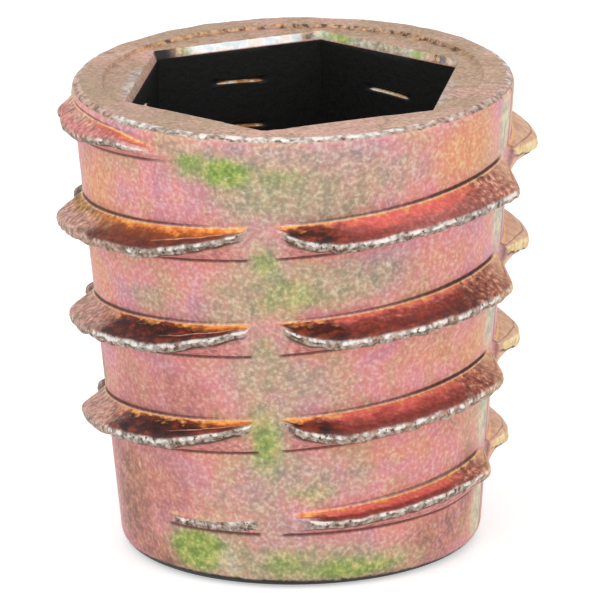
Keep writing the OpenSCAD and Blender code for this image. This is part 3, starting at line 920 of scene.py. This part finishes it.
def flank_colours(s):
    """A painted highlight as a gold line along the upper flank's top, then orange or red down to
    dark brown near the crest, the coating's colour darkened there with painted shade.
    """
    down = s.strayed(s.times(s.field("above_root"), -1.0), s.streak, 0.9)
    ember = s.mix(s.field("red"), s.ramp(down, ORANGE_FLANK), s.ramp(down, RED_FLANK))
    # Painted shade on the upper flank, strongest near the crest
    deep = s.math("ADD", down, s.times(s.field("flank_shade"), 0.12))
    flank_shade = s.both(s.field("flank_shade"), s.step(deep, 0.18, 0.5))
    ember = s.paint(ember, flank_shade, FLANK_SHADE_TONES, s.streak)
    for name, tones in (("brown", BURNT_TONES), ("dull", DULL_TONES)):
        spread = s.ragged(name, s.fleck, 1.0, 0.2, 0.8)
        ember = s.paint(ember, spread, tones, s.speck)
    for name, lo, hi, tones in (("amber", 0.6, 0.3, AMBER_TONES), ("rosy", 0.22, 0.4, ROSE_TONES)):
        ember = s.paint(ember, s.both(s.field(name), s.step(down, lo, hi)), tones, s.speck)
    ember = s.paint(ember, s.on("tan", 0.3, 0.9), TAN_TONES, s.hue)
    # Painted highlight: a gold line along the upper flank's top
    line = s.both(s.on("above_root", -0.1, -0.05), s.step(s.speck, 0.34, 0.46))
    return s.paint(ember, line, GOLD_HIGHLIGHT_LINE)


def lay_flank(s, skin):
    """The upper flank, with painted shade in the crevice over it."""
    on_flank = s.math("ADD", s.both(s.field("flank"), s.on("worn", 0.08, 0.3)),
                      s.both(s.field("crest"), s.on("worn", 0.25, 0.45)))
    skin = s.mix(s.both(on_flank, s.field("shows")), skin, flank_colours(s))
    above = s.field("above_root")
    # Painted shade in the crevice over the upper flank
    reach = s.times(s.field("crevice_shade"), -0.08)
    crevice_shade = s.both(s.step(above, -0.04, 0.01), s.step(s.math("ADD", above, reach), 0.05, 0.0))
    crevice_shade = s.both(crevice_shade, s.both(s.on("share", 0.3, 0.8), s.field("crevice_shade")))
    return s.paint(skin, crevice_shade, CREVICE_SHADE_TONES, s.speck)


def lay_underside(s, skin):
    """The lower flank, lightened as painted light against the shade under the crest, with a thin
    dark line at its foot that is partly its colour and partly painted shade.
    """
    below = s.both(s.field("under"), s.on("worn", 0.03, 0.5))
    skin = s.paint(skin, below, UNDER_TONES, s.speck)
    tan = s.both(below, s.on("tan", 0.3, 0.9))
    skin = s.paint(skin, tan, YELLOW_TONES, s.hue)
    foot = s.both(s.on("below_ledge", 0.17, 0.24), s.on("worn", 0.05, 0.25))
    return s.paint(skin, s.times(foot, 0.85), FOOT_LINE_AND_SHADE)


# Dull zinc, turning by the given share to bright silver, which is a painted highlight
def bare_metal(s, highlight):
    return s.mix(highlight, s.ramp(s.speck, CREST_TONES), s.ramp(s.fleck, SILVER_HIGHLIGHT_TONES))


def lay_crest(s, skin):
    """Dull zinc with pits, a painted highlight along its upper edge and painted shade along its
    lower one. Also gives where it is bare."""
    metal = s.paint(bare_metal(s, s.highlight_lip), s.step(s.grain, 0.38, 0.28), CREST_PIT)
    tinted = s.mix(s.field("tan"), s.ramp(s.speck, BROWN_TONES), s.ramp(s.hue, YELLOW_TONES))
    silvered = s.ragged("silver", s.fleck, 1.5, 0.3, 0.7)
    metal = s.mix(silvered, tinted, metal)
    # Painted shade along the crest's lower edge
    metal = s.paint(metal, s.step(s.level, 0.14, 0.0), CREST_FOOT_SHADE)
    on_crest = s.both(s.on("crest", 0.7, 0.95), s.on("across", 0.85, 0.7))
    worn = s.math("ADD", s.field("worn"), s.times(s.highlight_lip, 0.1))
    bare = s.both(on_crest, s.step(worn, 0.2, 0.38))
    return s.mix(bare, skin, metal), bare


def lay_creases(s, skin):
    """Between crest and upper flank, brown lines of painted shade in the tan bumps' creases and
    pale folds on the left with a painted highlight. Then the dark knobs."""
    crest, top = s.field("crest"), s.on("across", 0.8, 0.95)
    for name, rise, fall, amount, code in (
            ("tan", (0.1, 0.4), (0.9, 0.6), 0.7, BUMP_CREASE_SHADE),
            ("fold", (0.05, 0.15), (0.45, 0.3), 0.75, FOLD_HIGHLIGHT)):
        line = s.both(s.both(s.step(crest, *rise), s.step(crest, *fall)), s.field(name))
        skin = s.paint(skin, s.times(s.both(line, top), amount), code)
    ridge = s.math("ADD", s.field("flank"), s.field("crest"), True)
    knob = s.times(s.both(ridge, s.field("knob")), 0.75)
    return s.paint(skin, knob, KNOB_TONES, s.speck)


def lay_wide_end(s, skin):
    """Duller than the body, with its stained step, a painted highlight on its brink, and its edge
    worn to bare metal with a painted highlight, brightest at the front.
    """
    face = s.ramp(s.strayed(s.blend(0.6, s.grain, s.mottle), s.speck, 0.3), RIM_TONES)
    face = s.paint(face, s.times(s.step(s.cloud, 0.48, 0.6), 0.45), FACE_DUN)
    face = s.paint(face, s.times(s.step(s.cloud, 0.5, 0.38), 0.45), FACE_PINK)
    face = s.paint(face, s.times(s.field("rim_olive"), 0.7), FACE_OLIVE)
    grey = s.ragged("grey", s.fleck, 0.8, 0.2, 0.9)
    face = s.paint(face, grey, GREY_TONES, s.speck)
    stain = s.both(s.field("step_wall"), s.step(s.speck, 0.4, 0.52))
    face = s.paint(face, stain, GILT_TONES, s.fleck)
    # Painted highlight on the brink
    face = s.paint(face, s.both(s.field("brink"), s.step(s.speck, 0.3, 0.45)), BRINK_HIGHLIGHT)
    skin = s.mix(s.on("rim", 0.2, 0.8), skin, face)
    silvered = s.ragged("lead", s.fleck, 1.0, 0.2, 0.8)
    # A painted highlight in bright silver on a band of the rounded edge
    metal = bare_metal(s, s.step(s.level, 0.52, 0.64))
    worn = s.mix(silvered, s.ramp(s.speck, BROWN_TONES), metal)
    return s.mix(s.ragged("edge", s.fleck, 1.2, 0.3, 0.8), skin, worn)


def lay_lead_in(s, skin):
    """A painted highlight on the lead-in at the back, with its stains, and black painted as the
    shade in a notch.
    """
    inside = s.on("depth", 0, 0.02)
    # Painted highlight on the lead-in
    lit_lead_in = s.mix(s.field("sooty"), s.ramp(s.hue, LEAD_HIGHLIGHT_TONES), s.ramp(s.speck, GREY_TONES))
    lit_lead_in = s.paint(lit_lead_in, s.field("mossy"), GREEN_TONES, s.speck)
    lit_lead_in = s.paint(lit_lead_in, s.field("gilt"), GILT_TONES, s.speck)
    silvered = s.ragged("lead", s.fleck, 0.6, 0.3, 0.7)
    skin = s.mix(s.both(silvered, inside), skin, lit_lead_in)
    # Black painted as the shade in a notch at one corner
    return s.paint(skin, s.both(s.field("notch_shade"), inside), HOLLOW_SHADE_BLACK)


def lay_narrow_end(s, skin):
    """Olive towards its edge, and nearly black round the edge as painted shade where it meets the
    floor.
    """
    olive = s.ragged("stain", s.mottle, 0.8, 0.1, 0.5)
    skin = s.paint(skin, olive, HEEL_TONES, s.hue)
    # Black painted as shade where the edge meets the floor
    return s.paint(skin, s.ragged("stain", s.speck, 0.3, 0.15, 0.36), HEEL_SHADE_BLACK)


def lay_grain(s, skin):
    """Shifts of hue and a fine grain, weaker on the wide end and the tan bumps."""
    skin = s.mix(0.15, skin, s.ramp(s.hue, HUE_TONES), "SOFT_LIGHT")
    smooth = s.math("MAXIMUM", s.field("rim"), s.field("tan"), True)
    return s.mix(s.blend(smooth, 0.45, 0.22), skin, s.ramp(s.grain, GRAIN_TONES), "OVERLAY")


def lay_hollow(s, skin):
    """The socket, painted black as its shade, with painted highlights on the lips of the screw
    thread's groove, and the bore under it.
    """
    depth, socket_deep = s.field("depth"), MOUTH_Z - SOCKET_FLOOR_Z
    # Black painted as the socket's shade, and painted highlights on the groove's lips
    hollow = s.mix(s.on("cut", 0.4, 0.8), colour(HOLLOW_SHADE_BLACK), s.ramp(s.hue, NICK_HIGHLIGHT_TONES))
    bore = s.mix(0.5, colour(BORE_METAL), s.ramp(s.mottle, RIM_TONES))
    in_bore = s.step(depth, socket_deep - 0.2, socket_deep + 0.2)
    return s.mix(s.step(depth, 0.16, 0.25), skin, s.mix(in_bore, hollow, bore))


def chromated_zinc():
    """Die-cast zinc with an iridescent yellow chromate, worn to bare metal on the crests, with
    painted highlights and painted shade.
    """
    s = Chromate()
    skin = lay_underside(s, lay_flank(s, body_colours(s)))
    skin, bare = lay_crest(s, skin)
    for lay in (lay_creases, lay_wide_end, lay_lead_in, lay_narrow_end, lay_grain, lay_hollow):
        skin = lay(s, skin)
    coat = s.node("ShaderNodeBsdfPrincipled")
    s.feed(coat.inputs["Base Color"], skin)
    shine = s.math("MAXIMUM", s.both(bare, s.highlight_lip), s.on("edge", 0.3, 0.8))
    s.feed(coat.inputs["Metallic"], s.blend(shine, 0.2, 0.4))
    s.feed(coat.inputs["Roughness"], s.blend(shine, s.blend(s.speck, 0.45, 0.65), 0.4))
    bump = s.node("ShaderNodeBump")
    s.feed(bump.inputs["Strength"], 0.6)
    s.feed(bump.inputs["Distance"], 0.015 * MM)
    s.feed(bump.inputs["Height"], s.math("ADD", s.times(s.grain, 0.5), s.speck))
    s.feed(coat.inputs["Normal"], bump.outputs["Normal"])
    s.feed(s.node("ShaderNodeOutputMaterial").inputs["Surface"], coat.outputs["BSDF"])
    return s.owner


def pale_floor():
    """White paper: it shows as white where it is lit, and keeps the shadow."""
    s = Nodes(bpy.data.materials.new("white_paper"))
    paper = s.node("ShaderNodeBsdfPrincipled")
    s.feed(paper.inputs["Base Color"], PAPER)
    s.feed(paper.inputs["Roughness"], PAPER_ROUGH)
    glow = s.node("ShaderNodeEmission")
    s.feed(glow.inputs["Color"], WHITE)
    s.feed(glow.inputs["Strength"], s.times(s.seen(), PAPER_GLOW))
    both = s.node("ShaderNodeAddShader")
    s.feed(both.inputs[0], paper.outputs["BSDF"])
    s.feed(both.inputs[1], glow.outputs["Emission"])
    s.feed(s.node("ShaderNodeOutputMaterial").inputs["Surface"], both.outputs["Shader"])
    return s.owner


# -------- stage
FLOOR_HALF = 0.6
FLOOR_Z = -0.02 * MM       # a hair under the narrow end, so that the two don't coincide
PAPER, PAPER_ROUGH, PAPER_GLOW = (0.8, 0.8, 0.8, 1), 0.9, 0.45
WORLD_LIGHT = 0.7
TARGET = Vector((0, 0, 6.581 * MM))
CAMERA_AZIMUTH, CAMERA_ELEVATION, CAMERA_ROLL = 9.4, 17.296, -1.086
CAMERA_DISTANCE, LENS, SENSOR = 0.34425, 770.7, 36.0
SHIFT = (0.00504, -0.0022)
CLIP = (0.01, 10)
# name: (azimuth, elevation, distance in metres, size in metres, strength in watts)
LAMPS = {
    "key": (-32, 42, 0.16, 0.12, 0.07),
    "fill": (58, 30, 0.16, 0.12, 0.055),
    "over": (0, 85, 0.16, 0.14, 0.03),
}


def aim(thing, azimuth, elevation, distance, roll=0.0):
    """Places a lamp or the camera round the target, facing it."""
    a, e = math.radians(azimuth), math.radians(elevation)
    way = Vector((math.sin(a) * math.cos(e), -math.cos(a) * math.cos(e), math.sin(e)))
    thing.location = TARGET + way * distance
    turn = (thing.location - TARGET).to_track_quat("Z", "Y")
    thing.rotation_mode = "QUATERNION"
    thing.rotation_quaternion = turn @ Quaternion((0, 0, 1), math.radians(roll))


def make_floor():
    corners = [(-1, -1), (1, -1), (1, 1), (-1, 1)]
    mesh = bpy.data.meshes.new("floor")
    mesh.from_pydata([(x * FLOOR_HALF, y * FLOOR_HALF, FLOOR_Z) for x, y in corners], [],
                     [(0, 1, 2, 3)])
    mesh.materials.append(pale_floor())
    floor = add_object("floor", mesh)


def make_lamps():
    for name, (azimuth, elevation, distance, size, watts) in LAMPS.items():
        lamp = bpy.data.lights.new(name, "AREA")
        lamp.size = size
        lamp.energy = watts
        aim(add_object(name, lamp), azimuth, elevation, distance)


def make_world():
    """A soft light from all sides, which shows as white."""
    s = Nodes(bpy.data.worlds.new("studio"))
    strength = s.node("ShaderNodeMapRange")
    s.feed(strength.inputs["Value"], s.seen())
    s.feed(strength.inputs["To Min"], WORLD_LIGHT)
    s.feed(strength.inputs["To Max"], 1.0)
    sky = s.node("ShaderNodeBackground")
    s.feed(sky.inputs["Color"], WHITE)
    s.feed(sky.inputs["Strength"], strength.outputs["Result"])
    s.feed(s.node("ShaderNodeOutputWorld").inputs["Surface"], sky.outputs["Background"])
    bpy.context.scene.world = s.owner


def make_camera():
    lens = bpy.data.cameras.new("camera")
    lens.lens, lens.sensor_width = LENS, SENSOR
    lens.shift_x, lens.shift_y = SHIFT
    lens.clip_start, lens.clip_end = CLIP
    camera = add_object("camera", lens)
    aim(camera, CAMERA_AZIMUTH, CAMERA_ELEVATION, CAMERA_DISTANCE, CAMERA_ROLL)
    bpy.context.scene.camera = camera
    bpy.context.scene.view_settings.view_transform = "Standard"


piece = make_piece("threaded_insert_skin")
piece.data.materials.append(chromated_zinc())
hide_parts("insert")
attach(piece, "root")
make_floor()
make_lamps()
make_world()
make_camera()

print("triangles", sum(len(p.vertices) - 2 for p in piece.data.polygons))
